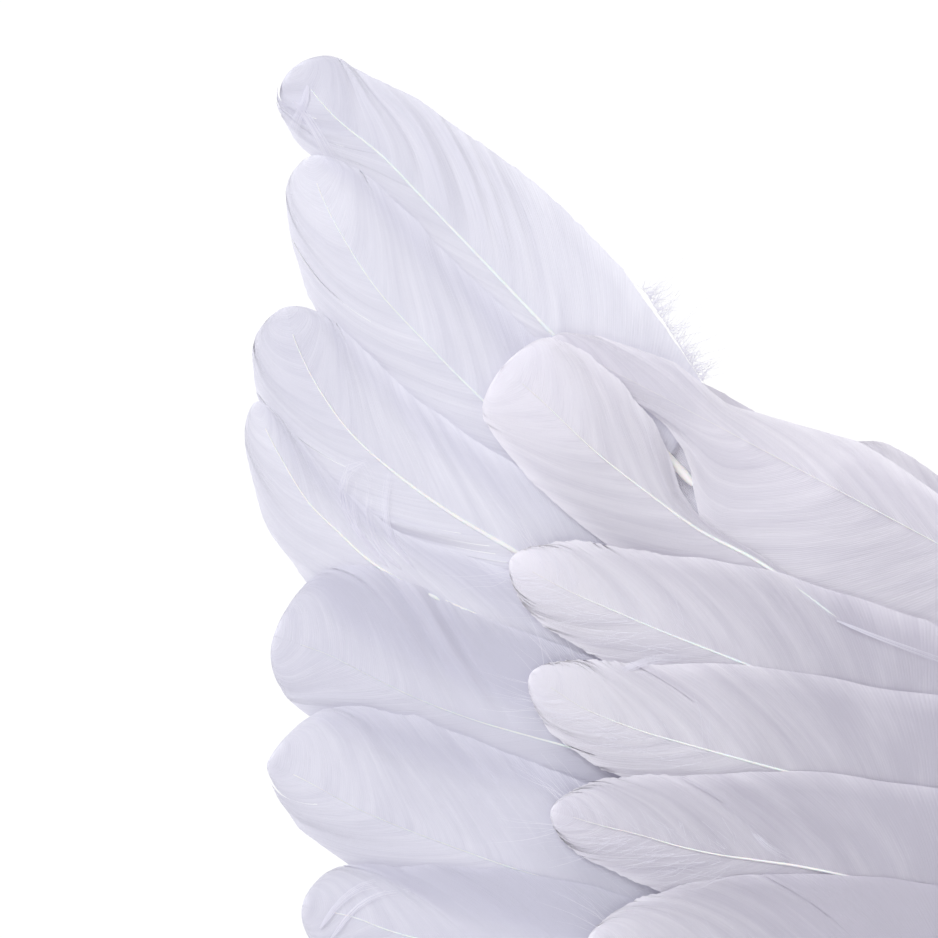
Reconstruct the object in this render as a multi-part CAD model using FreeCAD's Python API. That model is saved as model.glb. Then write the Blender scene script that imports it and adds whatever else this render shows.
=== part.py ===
"""Feathered fairy wings worn on the back.

Two wings of white goose feathers are laid in rows on a loop of steel wire that is covered with
cloth on both sides. Each loop's upright root turns in two sleeves on a stiff back panel, so the
wings fold together behind the wearer. Two elastic arm loops hang on upright pins at the panel's
top and bottom. Sizes are in millimetres. X runs across the wearer, Y points at the wearer and
Z is up. The origin is the centre of the pad's face that rests on the wearer's back.
"""
import FreeCAD, Part
import math
import os

V = FreeCAD.Vector

# back panel
PAD_WIDTH, PAD_HEIGHT, PAD_THICK = 60.0, 180.0, 10.0
BOARD_WIDTH, BOARD_HEIGHT, BOARD_THICK = 64.0, 214.0, 2.5
COVER_WIDTH, COVER_HEIGHT, COVER_THICK = 58.0, 206.0, 1.5
BOARD_FRONT = -PAD_THICK - BOARD_THICK
COVER_FRONT = BOARD_FRONT - COVER_THICK
CORNER = 12.0
BINDING_LIP = 1.0
BINDING_COVERS_X, BINDING_COVERS_Z = 1.8, 2.5

# wire frame and the hinge that its upright root makes
HINGE_X, HINGE_Y = 30.0, -20.0
WIRE_R = 1.5
SLEEVE_BORE_R, SLEEVE_R = 1.55, 3.5
SLEEVE_LOW, SLEEVE_HIGH = 22.0, 58.0
FLANGE_INNER_X = 15.0
FLANGE_THICK = 1.6
RIVET_R, RIVET_HEAD_R, RIVET_HEAD_THICK = 1.5, 3.2, 1.2
RIVET_X, RIVET_SPACING = 21.0, 24.0
COLLAR_R, COLLAR_LENGTH = 3.2, 5.0
FERRULE_R, FERRULE_LENGTH = 2.6, 18.0
WIRE_ENDS_GAP = 0.5
STRUT_R, STRUT_GAP = 1.0, 0.1
BOSS_R, BOSS_HALF_LENGTH = 2.8, 6.0
SOCKET_R, SOCKET_LENGTH, SOCKET_FLOOR = 2.1, 10.0, 3.2
CLOTH_THICK, CLOTH_OFF_WIRE = 1.0, 1.4

# feathers
VANE_THICK = 0.5
RIDGE_THICK = 0.8
LAYER_STEP = 1.0
QUILL_HALF, SHAFT_TIP_HALF = 1.9, 0.4
ROW_GAP, CLOTH_ROW_GAP, PLUME_GAP = 0.4, 0.1, 0.2
SIDE_GAP = 0.5

# arm loops
ANCHOR_X, ANCHOR_Y, ANCHOR_Z = 20.0, -4.6, 98.0
ANCHOR_PLATE_WIDTH, ANCHOR_PLATE_HEIGHT, ANCHOR_PLATE_THICK = 14.0, 10.0, 1.5
ANCHOR_WEB = 3.0
KNUCKLE_R, KNUCKLE_HEIGHT = 3.4, 8.0
YOKE_CLEARANCE, YOKE_ARM_THICK, YOKE_ARM_WIDTH, YOKE_BAR = 0.4, 2.0, 5.0, 2.0
STRAP_WIDTH, STRAP_THICK = 20.0, 1.6
STRAP_SPLAY_DEG = 12.0
YOKE_REACH = 9.0

# Frame wire of the left wing: corners (X, Z) and the bend radius at each, from the root's foot
FRAME_CORNERS = [
    ((-30, 78), 12), ((-98, 128), 70), ((-168, 156), 70), ((-222, 182), 18), ((-234, 62), 160),
    ((-208, -58), 90), ((-152, -124), 60), ((-84, -128), 40), ((-30, -78), 14),
]
# Outline of the cloth on the frame, drawn smooth through these points, with a straight root edge
CLOTH_ROOT_X, CLOTH_ROOT_Z = -40.0, 64.0
CLOTH_CURVE = [
    (-70, 105), (-118, 145), (-172, 166), (-218, 190), (-238, 165), (-243, 95), (-232, 5),
    (-206, -80), (-158, -134), (-104, -143), (-62, -112),
]

# One feather of the left wing is (quill end, tip, bend, leading width, trailing width), in X and Z:
# the bend is how far the shaft bows towards the trailing side.
PRIMARIES = [
    ((-193, 156), (-327, 303), 2, 31, 15),
    ((-197, 121), (-327, 269), 9, 26, 18),
    ((-189, 86), (-341, 213), 9, 24, 15),
    ((-190, 65), (-348, 180), 10, 12, 17),
    ((-150, 37), (-341, 100), 2, 28, 20),
    ((-148, -7), (-343, 59), 7, 30, 16),
    ((-139, -40), (-330, 8), 5, 27, 18),
    ((-124, -62), (-320, -44), 4, 26, 18),
    ((-116, -76), (-304, -94), 3, 25, 18),
    ((-106, -88), (-281, -140), 2, 24, 18),
    ((-96, -98), (-252, -178), 1, 23, 17),
    ((-86, -106), (-215, -208), 0, 22, 17),
    ((-76, -112), (-176, -228), -1, 21, 16),
    ((-66, -112), (-136, -238), -2, 20, 16),
    ((-58, -106), (-100, -232), -3, 18, 15),
    ((-52, -96), (-68, -210), -4, 16, 12),
]
COVERTS = [
    ((-56, 104), (-140, 169), 2, 15, 20),
    ((-94, 128), (-238, 205), 4, 15, 26),
    ((-112, 96), (-265, 199), 5, 26, 22),
    ((-92, 62), (-258, 130), 1, 27, 20),
    ((-86, 30), (-251, 89), 1, 27, 20),
    ((-80, 4), (-243, 42), 1, 27, 20),
    ((-74, -20), (-232, -5), 1, 26, 20),
    ((-68, -40), (-212, -52), 1, 25, 19),
    ((-62, -58), (-184, -94), 0, 23, 18),
    ((-56, -70), (-152, -126), 0, 20, 17),
    ((-50, -78), (-118, -146), -1, 18, 16),
    ((-46, -84), (-86, -152), -2, 16, 14),
]
LESSER_COVERTS = [
    ((-44, 84), (-108, 124), 2, 19, 18),
    ((-44, 60), (-110, 88), 1, 19, 18),
    ((-44, 36), (-110, 52), 1, 19, 17),
    ((-44, 12), (-108, 17), 0, 18, 16),
    ((-44, -12), (-104, -18), 0, 18, 15),
    ((-44, -34), (-96, -52), 0, 16, 14),
    ((-43, -50), (-84, -82), -1, 13, 12),
    ((-41, -62), (-66, -104), -2, 12, 10),
]
MARGINALS = [
    ((-43, 76), (-82, 102), 1, 14, 13),
    ((-43, 56), (-84, 72), 1, 14, 13),
    ((-43, 34), (-84, 42), 1, 14, 13),
    ((-43, 12), (-83, 14), 0, 14, 12),
    ((-43, -10), (-80, -15), 0, 13, 12),
    ((-43, -30), (-74, -43), -1, 12, 11),
    ((-43, -46), (-64, -66), -1, 10, 9),
]

# The plume over the seam between the wings, on the panel
PLUME = [
    ((0, 20), (0, 96), 0, 12, 12),
    ((-6, 8), (-10, 66), 1, 9, 9),
    ((6, 8), (10, 66), -1, 9, 9),
    ((0, -20), (0, -96), 0, 12, 12),
    ((-6, -8), (-10, -66), -1, 9, 9),
    ((6, -8), (10, -66), 1, 9, 9),
]


def save(node, solids):
    """Write the solids of one node."""
    for solid in solids:
        if not solid.isValid() or solid.Volume <= 0:
            raise RuntimeError("bad solid in " + node)
    shape = solids[0] if len(solids) == 1 else Part.makeCompound(solids)
    shape.exportStep("parts/" + node + ".step")


def mirrored(solids):
    """The same pieces on the wearer's other side."""
    return [s.mirror(V(0, 0, 0), V(1, 0, 0)) for s in solids]


def rounded_slab(width, height, back, front, corner):
    """An upright plate centred on the panel, from Y front to Y back, with rounded corners."""
    slab = Part.makeBox(width, back - front, height, V(-width / 2, front, -height / 2))
    upright = [e for e in slab.Edges if abs(e.tangentAt(e.FirstParameter).y) > 0.99]
    return slab.makeFillet(corner, upright)


def rod(start, end, radius):
    return Part.makeCylinder(radius, (end - start).Length, start, end - start)


def tube(start, end, outer, inner):
    return rod(start, end, outer).cut(rod(start, end, inner))


def rounded_path(points, radii):
    """Straight runs through the points, joined by tangent arcs. The two end radii are unused."""
    edges = []
    start = points[0]
    for i in range(1, len(points) - 1):
        before = (points[i - 1] - points[i]).normalize()
        after = (points[i + 1] - points[i]).normalize()
        half = before.getAngle(after) / 2
        reach = radii[i] / math.tan(half)
        arc_start = points[i] + before * reach
        arc_end = points[i] + after * reach
        middle = (before + after).normalize()
        centre = points[i] + middle * (radii[i] / math.sin(half))
        edges.append(Part.LineSegment(start, arc_start).toShape())
        edges.append(Part.Arc(arc_start, centre - middle * radii[i], arc_end).toShape())
        start = arc_end
    edges.append(Part.LineSegment(start, points[-1]).toShape())
    return Part.Wire(edges)


def smooth(points):
    curve = Part.BSplineCurve()
    curve.interpolate(points)
    return curve.toShape()


# ---------------------------------------------------------------- back panel

def back_panel():
    pad = rounded_slab(PAD_WIDTH, PAD_HEIGHT, 0, -PAD_THICK, CORNER)
    board = rounded_slab(BOARD_WIDTH, BOARD_HEIGHT, -PAD_THICK, BOARD_FRONT, CORNER)
    cover = rounded_slab(COVER_WIDTH, COVER_HEIGHT, BOARD_FRONT, COVER_FRONT, CORNER - 3)
    lip = BINDING_LIP
    band = rounded_slab(BOARD_WIDTH + 2 * lip, BOARD_HEIGHT + 2 * lip, -PAD_THICK + lip,
                        BOARD_FRONT - lip, CORNER + lip)
    window = rounded_slab(BOARD_WIDTH - 2 * BINDING_COVERS_X, BOARD_HEIGHT - 2 * BINDING_COVERS_Z,
                          0, -2 * PAD_THICK, CORNER / 2)
    binding = band.cut(window).cut(board).cut(cover)
    rivets = []
    for side in (-1, 1):
        for centre in sleeve_centres():
            for step in (-0.5, 0.5):
                spot = V(side * RIVET_X, COVER_FRONT - FLANGE_THICK, centre + step * RIVET_SPACING)
                shank = rod(spot, V(spot.x, -PAD_THICK, spot.z), RIVET_R)
                head = rod(spot, spot + V(0, -RIVET_HEAD_THICK, 0), RIVET_HEAD_R)
                round_edge = [e for e in head.Edges if e.BoundBox.YMax < spot.y - 1]
                rivets.append(shank.fuse(head.makeFillet(0.6, round_edge)))
    holes = Part.makeCompound([r.copy() for r in rivets])
    save("back_pad", [pad])
    save("back_board", [board.cut(holes)])
    save("front_cover", [cover.cut(holes)])
    save("panel_binding", binding.Solids)
    save("sleeve_rivets", rivets)
    for level, centre in zip(("upper", "lower"), sleeve_centres()):
        one = sleeve(centre).cut(holes)
        save("left_" + level + "_sleeve", [one])
        save("right_" + level + "_sleeve", mirrored([one]))
    for level, z in (("upper", ANCHOR_Z), ("lower", -ANCHOR_Z)):
        one = anchor(z)
        save("left_" + level + "_anchor", [one])
        save("right_" + level + "_anchor", mirrored([one]))


def sleeve_centres():
    middle = (SLEEVE_LOW + SLEEVE_HIGH) / 2
    return middle, -middle


def sleeve(centre):
    """A left sleeve: a barrel round the wire's root and a flange that lies on the panel."""
    half = (SLEEVE_HIGH - SLEEVE_LOW) / 2
    low = V(-HINGE_X, HINGE_Y, centre - half)
    high = V(-HINGE_X, HINGE_Y, centre + half)
    flange = Part.makeBox(HINGE_X + SLEEVE_R - FLANGE_INNER_X, FLANGE_THICK, 2 * half,
                          V(-HINGE_X - SLEEVE_R, COVER_FRONT - FLANGE_THICK, centre - half))
    web = Part.makeBox(2 * SLEEVE_R, COVER_FRONT - HINGE_Y, 2 * half,
                       V(-HINGE_X - SLEEVE_R, HINGE_Y, centre - half))
    body = rod(low, high, SLEEVE_R).fuse(flange).fuse(web)
    return body.cut(rod(low, high, SLEEVE_BORE_R)).removeSplitter()


def anchor(z):
    """A left anchor: a plate on the board's end tab and an upright knuckle for the arm loop's pin."""
    half = KNUCKLE_HEIGHT / 2
    low, high = V(-ANCHOR_X, ANCHOR_Y, z - half), V(-ANCHOR_X, ANCHOR_Y, z + half)
    plate = Part.makeBox(ANCHOR_PLATE_WIDTH, ANCHOR_PLATE_THICK, ANCHOR_PLATE_HEIGHT,
                         V(-ANCHOR_X - ANCHOR_PLATE_WIDTH / 2, -PAD_THICK, z - ANCHOR_PLATE_HEIGHT / 2))
    web = Part.makeBox(ANCHOR_WEB, ANCHOR_Y + PAD_THICK, KNUCKLE_HEIGHT,
                       V(-ANCHOR_X - ANCHOR_WEB / 2, -PAD_THICK, z - half))
    body = plate.fuse(web).fuse(rod(low, high, KNUCKLE_R))
    return body.cut(rod(low, high, SLEEVE_BORE_R)).removeSplitter()


# ---------------------------------------------------------------- wire frame

def flat(x, z, y=HINGE_Y):
    return V(x, y, z)


def wire_frame():
    """The left wing's wire loop with its crimp, stop collars and strut."""
    corners = [flat(*spot) for spot, _ in FRAME_CORNERS]
    radii = [0] + [radius for _, radius in FRAME_CORNERS] + [0]
    split = WIRE_ENDS_GAP / 2
    points = [flat(-HINGE_X, split)] + corners + [flat(-HINGE_X, -split)]
    path = rounded_path(points, radii)
    ring = Part.Wire([Part.makeCircle(WIRE_R, points[0], V(0, 0, 1))])
    loop = path.makePipeShell([ring], True, True)
    ferrule = tube(flat(-HINGE_X, -FERRULE_LENGTH / 2), flat(-HINGE_X, FERRULE_LENGTH / 2),
                   FERRULE_R, WIRE_R)
    collars = []
    for low in (SLEEVE_HIGH + 1, -SLEEVE_HIGH - 1 - COLLAR_LENGTH):
        collars.append(tube(flat(-HINGE_X, low), flat(-HINGE_X, low + COLLAR_LENGTH), COLLAR_R, WIRE_R))
    start, start_run = run_point(corners[0], corners[1], 0.5)
    end, end_run = run_point(corners[4], corners[5], 0.5)
    along = (end - start).normalize()
    joints = []
    for spot, run, inward in ((start, start_run, along), (end, end_run, along * -1)):
        grip = run * BOSS_HALF_LENGTH
        boss = rod(spot - grip, spot + grip, BOSS_R).fuse(rod(spot, spot + inward * SOCKET_LENGTH, SOCKET_R))
        boss = boss.cut(rod(spot - grip * 2, spot + grip * 2, WIRE_R))
        socket = rod(spot + inward * SOCKET_FLOOR, spot + inward * 2 * SOCKET_LENGTH, STRUT_R)
        joints.append(boss.cut(socket))
    inset = along * (SOCKET_FLOOR + STRUT_GAP)
    strut = rod(start + inset, end - inset, STRUT_R)
    return {"frame_wire": [loop], "wire_ferrule": [ferrule], "wire_collars": collars,
            "strut_joints": joints, "strut_wire": [strut]}


def run_point(a, b, share):
    run = (b - a).normalize()
    return a + (b - a) * share, run


def cloth(front, back):
    """The cloth that carries the feather rows, between two depths."""
    points = [flat(CLOTH_ROOT_X, CLOTH_ROOT_Z, front)]
    points += [flat(x, z, front) for x, z in CLOTH_CURVE]
    points.append(flat(CLOTH_ROOT_X, -CLOTH_ROOT_Z, front))
    edge = Part.LineSegment(points[-1], points[0]).toShape()
    face = Part.Face(Part.Wire([smooth(points), edge]))
    return face.extrude(V(0, back - front, 0))


# ---------------------------------------------------------------- feathers

def shaft_point(base, tip, bend, share):
    """A place on the feather's bowed shaft, and the direction to its trailing side."""
    along = (tip - base).normalize()
    side = V(-along.z, 0, along.x)
    bow = 4 * bend * share * (1 - share)
    return base + (tip - base) * share + side * bow, side


def feather(spec, depth, facing):
    """One feather: a thin vane and a raised shaft. facing is -1 for the show side, 1 for the rear."""
    (bx, bz), (tx, tz), bend, lead, trail = spec
    base, tip = V(bx, depth, bz), V(tx, depth, tz)
    vane_start = 0.14
    stations = ((0.0, 0.20), (0.12, 0.72), (0.38, 0.96), (0.66, 0.98), (0.86, 0.74), (1.0, 0.0))
    sides = {1: [], -1: []}
    for share, fullness in stations:
        at = vane_start + (1 - vane_start) * share
        spot, side = shaft_point(base, tip, bend, at)
        sides[1].append(spot + side * (trail * fullness))
        sides[-1].append(spot - side * (lead * fullness))
    outline = Part.Wire([
        smooth(sides[1]), smooth(sides[-1]),
        Part.LineSegment(sides[1][0], sides[-1][0]).toShape(),
    ])
    vane = Part.Face(outline).extrude(V(0, facing * VANE_THICK, 0))
    rails = {1: [], -1: []}
    for share in (0.0, 0.3, 0.6, 0.92):
        spot, side = shaft_point(base, tip, bend, share)
        half = QUILL_HALF + (SHAFT_TIP_HALF - QUILL_HALF) * share
        rails[1].append(spot + side * half)
        rails[-1].append(spot - side * half)
    strip = Part.Wire([
        smooth(rails[1]), Part.LineSegment(rails[1][-1], rails[-1][-1]).toShape(),
        smooth(rails[-1]), Part.LineSegment(rails[-1][0], rails[1][0]).toShape(),
    ])
    shaft = Part.Face(strip).extrude(V(0, facing * RIDGE_THICK, 0))
    return vane.fuse(shaft).Solids[0]


def feather_row(specs, depth, facing):
    """A row laid on the plane at depth. Each feather takes the lowest layer that it has to itself."""
    layers = []
    solids = []
    for spec in specs:
        base_copy = feather(spec, 0, facing)
        level = 0
        while level < len(layers):
            if all(base_copy.distToShape(other)[0] > SIDE_GAP for other in layers[level]):
                break
            level += 1
        if level == len(layers):
            layers.append([])
        layers[level].append(base_copy)
        solids.append(base_copy.translated(V(0, depth + facing * level * LAYER_STEP, 0)))
    return solids, depth + facing * (len(layers) * LAYER_STEP + ROW_GAP)


def wing():
    """All pieces of the left wing."""
    pieces = wire_frame()
    cloth_front = HINGE_Y - WIRE_R - CLOTH_OFF_WIRE
    cloth_rear = HINGE_Y + WIRE_R + CLOTH_OFF_WIRE
    pieces["front_cloth"] = [cloth(cloth_front - CLOTH_THICK, cloth_front)]
    pieces["rear_cloth"] = [cloth(cloth_rear, cloth_rear + CLOTH_THICK)]
    depth = cloth_front - CLOTH_THICK - CLOTH_ROW_GAP
    for node, specs in (("primaries", PRIMARIES), ("coverts", COVERTS),
                        ("lesser_coverts", LESSER_COVERTS), ("marginals", MARGINALS)):
        pieces[node], depth = feather_row(specs, depth, -1)
    depth = cloth_rear + CLOTH_THICK + CLOTH_ROW_GAP
    for node, specs in (("rear_coverts", COVERTS), ("rear_marginals", MARGINALS)):
        pieces[node], depth = feather_row(specs, depth, 1)
    return pieces


def plume():
    depth = COVER_FRONT - FLANGE_THICK - RIVET_HEAD_THICK - PLUME_GAP
    save("centre_plume", feather_row(PLUME, depth, -1)[0])


# ---------------------------------------------------------------- arm loops

def arm_loop():
    """The left elastic arm loop and the two yokes whose pins turn in the anchors."""
    splay = math.radians(STRAP_SPLAY_DEG)
    out = V(-math.sin(splay), math.cos(splay), 0)
    across = V(math.cos(splay), math.sin(splay), 0)
    axis = V(-ANCHOR_X, ANCHOR_Y, 0)
    route = [(YOKE_REACH, ANCHOR_Z), (22, ANCHOR_Z), (50, 121), (92, 120), (122, 78), (132, 10),
             (122, -54), (92, -104), (50, -118), (22, -ANCHOR_Z), (YOKE_REACH, -ANCHOR_Z)]
    radii = [0, 20, 40, 36, 84, 130, 84, 50, 36, 20, 0]
    points = [axis + out * u + V(0, 0, z) for u, z in route]
    path = rounded_path(points, radii)
    start = points[0]
    rise = V(0, 0, STRAP_THICK / 2)
    reach = across * (STRAP_WIDTH / 2)
    section = Part.makePolygon([start + reach + rise, start - reach + rise, start - reach - rise,
                                start + reach - rise, start + reach + rise])
    shell = Part.BRepOffsetAPI.MakePipeShell(path)
    shell.setBiNormalMode(across)
    shell.add(section)
    shell.build()
    shell.makeSolid()
    return {"strap": [shell.shape()], "upper_yoke": [yoke(axis, out, across, ANCHOR_Z)],
            "lower_yoke": [yoke(axis, out, across, -ANCHOR_Z)]}


def yoke(axis, out, across, z):
    """A pin through the knuckle, two arms and the bar that the strap is sewn to."""
    clear, arm = YOKE_CLEARANCE, YOKE_ARM_THICK
    half = KNUCKLE_HEIGHT / 2
    body = rod(axis + V(0, 0, z - half - clear - arm), axis + V(0, 0, z + half + clear + arm), WIRE_R)
    for low in (z + half + clear, z - half - clear - arm):
        body = body.fuse(beam(axis + V(0, 0, low), out, across, YOKE_REACH, YOKE_ARM_WIDTH, arm))
    bar = beam(axis + out * (YOKE_REACH - YOKE_BAR) + V(0, 0, z - half - clear - arm), out, across,
               YOKE_BAR, STRAP_WIDTH, KNUCKLE_HEIGHT + 2 * (clear + arm))
    return body.fuse(bar).removeSplitter()


def beam(start, out, across, length, width, height):
    """A block that runs from start along out, centred across it, and rises by height."""
    near = start - across * (width / 2)
    far = start + across * (width / 2)
    foot = Part.makePolygon([near, near + out * length, far + out * length, far, near])
    return Part.Face(foot).extrude(V(0, 0, height))


os.makedirs("parts", exist_ok=True)
back_panel()
plume()
for name, group in wing().items():
    save("left_" + name, group)
    save("right_" + name, mirrored(group))
for name, group in arm_loop().items():
    save("left_" + name, group)
    save("right_" + name, mirrored(group))
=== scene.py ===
import bpy
import math
import numpy as np
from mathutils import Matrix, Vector

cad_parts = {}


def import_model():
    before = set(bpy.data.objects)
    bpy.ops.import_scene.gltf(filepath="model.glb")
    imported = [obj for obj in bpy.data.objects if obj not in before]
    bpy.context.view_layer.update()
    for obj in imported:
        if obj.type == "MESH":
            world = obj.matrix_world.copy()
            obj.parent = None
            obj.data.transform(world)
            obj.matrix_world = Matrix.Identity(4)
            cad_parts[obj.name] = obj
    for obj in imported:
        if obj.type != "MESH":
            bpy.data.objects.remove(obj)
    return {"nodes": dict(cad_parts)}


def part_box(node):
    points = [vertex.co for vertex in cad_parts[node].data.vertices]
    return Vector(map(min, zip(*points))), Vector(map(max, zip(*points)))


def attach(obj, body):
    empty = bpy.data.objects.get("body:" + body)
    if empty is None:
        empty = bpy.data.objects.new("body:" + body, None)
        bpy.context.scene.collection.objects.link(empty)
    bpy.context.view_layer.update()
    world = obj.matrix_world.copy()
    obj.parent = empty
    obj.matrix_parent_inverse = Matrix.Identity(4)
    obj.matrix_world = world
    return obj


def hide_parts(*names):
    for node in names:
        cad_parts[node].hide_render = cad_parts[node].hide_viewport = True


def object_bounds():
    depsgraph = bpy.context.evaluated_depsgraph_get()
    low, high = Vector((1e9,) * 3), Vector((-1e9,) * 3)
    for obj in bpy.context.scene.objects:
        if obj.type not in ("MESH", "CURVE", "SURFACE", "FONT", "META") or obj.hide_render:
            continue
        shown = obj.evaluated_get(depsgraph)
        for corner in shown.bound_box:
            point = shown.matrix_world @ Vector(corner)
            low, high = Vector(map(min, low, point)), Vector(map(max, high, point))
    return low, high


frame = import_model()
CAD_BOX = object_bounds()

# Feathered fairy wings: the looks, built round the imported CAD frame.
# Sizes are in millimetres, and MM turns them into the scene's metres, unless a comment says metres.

MM = 0.001

# ---------------- the view
# The square in view lies this far in front of the origin and is seen straight on.
VIEW_CENTRE = (-271.6, 161.4)
VIEW_SIZE = 328.3
VIEW_DEPTH = 26.0
CAMERA_DISTANCE = 3000.0

# ---------------- depths towards the viewer (-Y)
# Each row of feathers lies a step above the last, and each feather tilts a little, like a shingle.
CLOTH_FACE = -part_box("left_front_cloth")[0][1] / MM
REAR_CLOTH_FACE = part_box("left_rear_cloth")[1][1] / MM
FRONT_GAP = 2.2
REAR_GAP = 2.0
PLUME_GAP = 0.6
FEATHER_STEP = 0.02
ROW_STEP = 3.4
SHINGLE = 0.055

# Feathers of the left wing, top to bottom, in the plane of the wing (X, Z). Each shaft runs from
# the quill end to the tip; lead and trail are the widths of the two vanes at STATIONS along it.
# A fold is (share of the shaft, side, height, spread) and a slit, where barbs have parted, is
# (share, side, inner end); the side is 1 for the leading vane and -1 for the trailing one.
# Other entries: at, its own stations; tip, the share of the shaft over which the end rounds off; tone, the
# painted light (above 0) and painted shade (below 0) in its colour at its base and at its tip; fuzz, how many
# downy strands it has; sink, how deep it lies in its row; dive and dip, how deep its vane's base and its
# quill tuck in.
STATIONS = (0.10, 0.20, 0.35, 0.50, 0.65, 0.80, 0.90, 1.0)
FULLNESS = (0.45, 0.70, 0.93, 1.0, 1.0, 0.90, 0.74, 0.45)
FIRST_PRIMARIES = [
    dict(shaft=[(-193, 156), (-217, 181.5), (-240, 206.5), (-269, 237), (-286, 254.5), (-302, 271),
                (-319, 285), (-333, 302)],
         lead=(26, 29, 33.5, 33, 29, 23, 18.5, 13), trail=(6, 10, 14.5, 15, 15, 15, 15.5, 12), tip=0.045,
         shaft_size=1.3, dip=-1.2, tone=(0.2, -0.4),
         folds=[(0.42, 1, 0.4, 0.015), (0.47, 1, 0.5, 0.012), (0.52, 1, 0.8, 0.014), (0.57, 1, -0.7, 0.014),
                (0.62, 1, 0.8, 0.014), (0.68, 1, -0.9, 0.02), (0.76, 1, 0.6, 0.02), (0.82, 1, -0.5, 0.02),
                (0.84, -1, 1.0, 0.012), (0.90, -1, 0.9, 0.02), (0.95, -1, -0.7, 0.02)],
         slits=[(0.79, -1, 0.35), (0.70, -1, 0.45), (0.88, -1, 0.3)]),
    dict(shaft=[(-197, 121), (-231, 153), (-265, 184), (-286, 205), (-303.5, 224), (-316, 243),
                (-324, 259), (-327, 271)],
         lead=(14, 20, 26, 28, 27.5, 25, 20, 12), trail=(10, 15, 21, 24.5, 24.5, 20.5, 15.5, 8), tip=0.06,
         tone=(-0.2, 0),
         folds=[(0.35, 1, 0.6, 0.04), (0.52, 1, 0.4, 0.05), (0.45, -1, -0.5, 0.05), (0.7, -1, 0.4, 0.03)],
         slits=[(0.62, -1, 0.35), (0.17, -1, 0.1)]),
    dict(shaft=[(-189, 86), (-222, 112), (-254.5, 132), (-278, 146), (-297.5, 160), (-313, 174),
                (-324.5, 190), (-332, 205), (-336, 218)],
         lead=(14, 19, 25, 26, 26, 23.5, 19, 12), trail=(14, 19, 21, 20, 21, 22, 19.5, 11), tip=0.06,
         tone=(0.1, -0.3),
         folds=[(0.35, 1, 0.6, 0.04), (0.55, 1, -0.5, 0.05), (0.45, -1, 1.2, 0.02), (0.4, -1, -1.0, 0.02),
                (0.35, -1, 0.9, 0.02)],
         slits=[(0.62, -1, 0.4), (0.46, -1, 0.2), (0.42, -1, 0.1), (0.39, -1, 0.2), (0.36, -1, 0.1)]),
    dict(shaft=[(-190, 65), (-225, 88), (-260, 106), (-291, 120), (-306, 129), (-318, 140),
                (-328, 150), (-337, 164.5), (-343, 176), (-346, 185)],
         lead=(14, 18, 20, 18, 14, 12, 9, 5), trail=(9, 17, 23.5, 24, 22.5, 17.5, 11.5, 5), tip=0.06,
         tone=(-0.2, 0),
         folds=[(0.45, -1, -0.6, 0.04), (0.7, -1, 0.4, 0.03), (0.35, 1, 0.6, 0.03)],
         slits=[(0.5, 1, 0.5)]),
    dict(shaft=[(-150, 37), (-195, 51), (-232, 63), (-250, 68), (-269, 73.5), (-288, 80.5),
                (-306, 89), (-322, 97), (-340, 103)],
         lead=(14, 22, 30, 33, 35, 36, 33.5, 24), trail=(8, 10, 13, 17, 19.5, 22, 22, 17), tip=0.07,
         tone=(-0.7, -0.4),
         folds=[(0.54, 1, -1.1, 0.02), (0.58, 1, 1.0, 0.018), (0.63, 1, -1.0, 0.02), (0.68, 1, 0.7, 0.02),
                (0.35, 1, 0.6, 0.05), (0.75, -1, 0.4, 0.04)],
         slits=[]),
    dict(shaft=[(-148, -7), (-185, 2.5), (-221, 12), (-250, 20), (-279, 30), (-307, 41),
                (-327, 51.5), (-342, 59)],
         lead=(16, 25, 33, 36, 38, 37.5, 33, 20), trail=(9, 13, 18, 20, 20.5, 19, 16, 6), tip=0.06,
         tone=(-0.7, -0.2),
         folds=[(0.45, 1, 0.5, 0.04), (0.6, 1, -0.4, 0.04), (0.3, 1, -0.6, 0.05)],
         slits=[(0.86, -1, 0.3)]),
    dict(shaft=[(-139, -40), (-180, -30), (-215, -21), (-250, -12.5), (-290, -2.8), (-302, 0.7),
                (-312, 4.5), (-330, 8.5)],
         lead=(16, 23, 30, 32, 31.5, 26, 20, 13), trail=(9, 14, 18, 21, 21, 19.5, 17.5, 12), tip=0.06,
         tone=(-1.0, -0.3),
         folds=[(0.55, 1, -0.8, 0.03), (0.62, 1, 0.9, 0.02), (0.68, 1, -0.8, 0.02), (0.45, 1, 0.5, 0.04)],
         slits=[(0.68, 1, 0.6)]),
]
EDGE_STATIONS = (0.06, 0.25, 0.39, 0.46, 0.60, 0.64, 0.667, 0.687, 0.716, 0.757, 0.795, 0.93, 1.0)
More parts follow.
